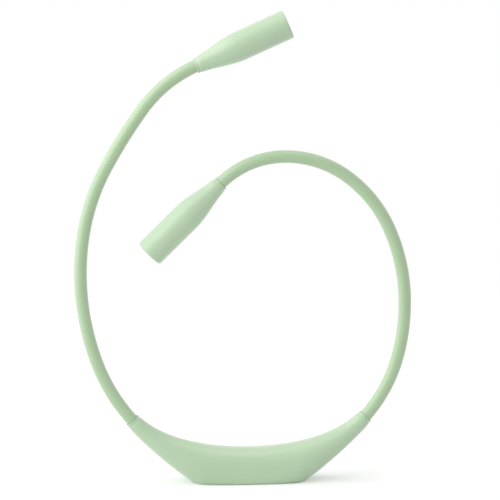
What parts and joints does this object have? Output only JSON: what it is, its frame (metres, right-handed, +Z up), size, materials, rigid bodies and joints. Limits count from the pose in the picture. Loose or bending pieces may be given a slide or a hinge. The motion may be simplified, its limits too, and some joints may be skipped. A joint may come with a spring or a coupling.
{
  "type": "neck reading light",
  "caption": "Neck reading light with a crescent battery housing that stands on a flat base, two bendable arms and a tapered lamp head at the end of each arm.",
  "frame": {"origin": "middle of the flat base that the housing stands on", "axes": "+Z up, +X to the right as seen from the front, and the front faces -Y; both arms lie in the plane y = 0"},
  "size_m": [0.188, 0.0221, 0.2651],
  "materials": {
    "housing": "mint green, soft matte",
    "sleeve": "mint green elastomer, matte",
    "steel": "plain steel",
    "aluminium": "plain aluminium",
    "circuit_board": "green solder mask",
    "black_plastic": "moulded black",
    "battery_pouch": "laminated foil pouch",
    "foam": "adhesive foam",
    "clear_plastic": "clear, polished",
    "reflector": "bright metallised plastic",
    "red_wire": "insulated wire",
    "black_wire": "insulated wire",
    "white_wire": "insulated wire"
  },
  "bodies": {
    "housing": {"front_shell": "housing", "rear_cover": "housing", "cover_screw_left_1": "steel", "cover_screw_right_1": "steel", "cover_screw_left_2": "steel", "cover_screw_right_2": "steel", "circuit_board": "circuit_board", "status_light_guide": "clear_plastic", "charging_socket": "steel", "battery_cell": "battery_pouch", "battery_pad": "foam", "battery_lead_positive": "red_wire", "battery_lead_negative": "black_wire", "left_lamp_lead": "white_wire", "right_lamp_lead": "white_wire", "left_switch": "black_plastic", "right_switch": "black_plastic", "left_sleeve_1": "sleeve", "left_core_1": "steel", "left_housing_ferrule": "aluminium", "right_sleeve_1": "sleeve", "right_core_1": "steel", "right_housing_ferrule": "aluminium"},
    "left_button": {"left_button": "housing"},
    "right_button": {"right_button": "housing"},
    "left_arm_1": {"left_sleeve_2": "sleeve", "left_core_2": "steel"},
    "left_arm_2": {"left_sleeve_3": "sleeve", "left_core_3": "steel"},
    "left_arm_3": {"left_sleeve_4": "sleeve", "left_core_4": "steel"},
    "left_arm_4": {"left_sleeve_5": "sleeve", "left_core_5": "steel"},
    "left_arm_5": {"left_sleeve_6": "sleeve", "left_core_6": "steel"},
    "left_head": {"left_sleeve_7": "sleeve", "left_core_7": "steel", "left_head_ferrule": "aluminium", "left_head_shell": "housing", "left_lens": "clear_plastic", "left_reflector": "reflector", "left_lamp_board": "circuit_board"},
    "right_arm_1": {"right_sleeve_2": "sleeve", "right_core_2": "steel"},
    "right_arm_2": {"right_sleeve_3": "sleeve", "right_core_3": "steel"},
    "right_arm_3": {"right_sleeve_4": "sleeve", "right_core_4": "steel"},
    "right_arm_4": {"right_sleeve_5": "sleeve", "right_core_5": "steel"},
    "right_arm_5": {"right_sleeve_6": "sleeve", "right_core_6": "steel"},
    "right_head": {"right_sleeve_7": "sleeve", "right_core_7": "steel", "right_head_ferrule": "aluminium", "right_head_shell": "housing", "right_lens": "clear_plastic", "right_reflector": "reflector", "right_lamp_board": "circuit_board"}
  },
  "joints": [
    {"name": "left_button_press", "type": "slide", "parent": "housing", "child": "left_button", "axis": [0, -1, 0], "range_m": [0, 0.0005], "stiffness_N_per_m": 1200, "springref_m": -0.0004},
    {"name": "right_button_press", "type": "slide", "parent": "housing", "child": "right_button", "axis": [0, -1, 0], "range_m": [0, 0.0005], "stiffness_N_per_m": 1200, "springref_m": -0.0004},
    {"name": "left_arm_bend_1", "type": "hinge", "parent": "housing", "child": "left_arm_1", "pos_m": [-0.07668, 0, 0.05155], "axis": [0, -1, 0], "range_deg": [-15, 35]},
    {"name": "left_arm_bend_2", "type": "hinge", "parent": "left_arm_1", "child": "left_arm_2", "pos_m": [-0.09006, 0, 0.08695], "axis": [-0.9759, 0, -0.2181], "range_deg": [-35, 35]},
    {"name": "left_arm_bend_3", "type": "hinge", "parent": "left_arm_2", "child": "left_arm_3", "pos_m": [-0.0935, 0, 0.12469], "axis": [0, -1, 0], "range_deg": [-20, 35]},
    {"name": "left_arm_bend_4", "type": "hinge", "parent": "left_arm_3", "child": "left_arm_4", "pos_m": [-0.08661, 0, 0.16192], "axis": [-0.9438, 0, 0.3305], "range_deg": [-35, 35]},
    {"name": "left_arm_bend_5", "type": "hinge", "parent": "left_arm_4", "child": "left_arm_5", "pos_m": [-0.06932, 0, 0.19567], "axis": [0, -1, 0], "range_deg": [-30, 35]},
    {"name": "left_arm_bend_6", "type": "hinge", "parent": "left_arm_5", "child": "left_head", "pos_m": [-0.04567, 0, 0.22517], "axis": [-0.6307, 0, 0.776], "range_deg": [-35, 35]},
    {"name": "right_arm_bend_1", "type": "hinge", "parent": "housing", "child": "right_arm_1", "pos_m": [0.07633, 0, 0.05178], "axis": [0, -1, 0], "range_deg": [-35, 15]},
    {"name": "right_arm_bend_2", "type": "hinge", "parent": "right_arm_1", "child": "right_arm_2", "pos_m": [0.08664, 0, 0.0881], "axis": [0.9951, 0, -0.0985], "range_deg": [-35, 35]},
    {"name": "right_arm_bend_3", "type": "hinge", "parent": "right_arm_2", "child": "right_arm_3", "pos_m": [0.08407, 0, 0.12583], "axis": [0, -1, 0], "range_deg": [-35, 35]},
    {"name": "right_arm_bend_4", "type": "hinge", "parent": "right_arm_3", "child": "right_arm_4", "pos_m": [0.06783, 0, 0.15985], "axis": [0.7766, 0, 0.63], "range_deg": [-35, 35]},
    {"name": "right_arm_bend_5", "type": "hinge", "parent": "right_arm_4", "child": "right_arm_5", "pos_m": [0.03728, 0, 0.18154], "axis": [0, -1, 0], "range_deg": [-18, 35]},
    {"name": "right_arm_bend_6", "type": "hinge", "parent": "right_arm_5", "child": "right_head", "pos_m": [0.00008, 0, 0.18039], "axis": [0.3875, 0, -0.9219], "range_deg": [-35, 35]}
  ]
}
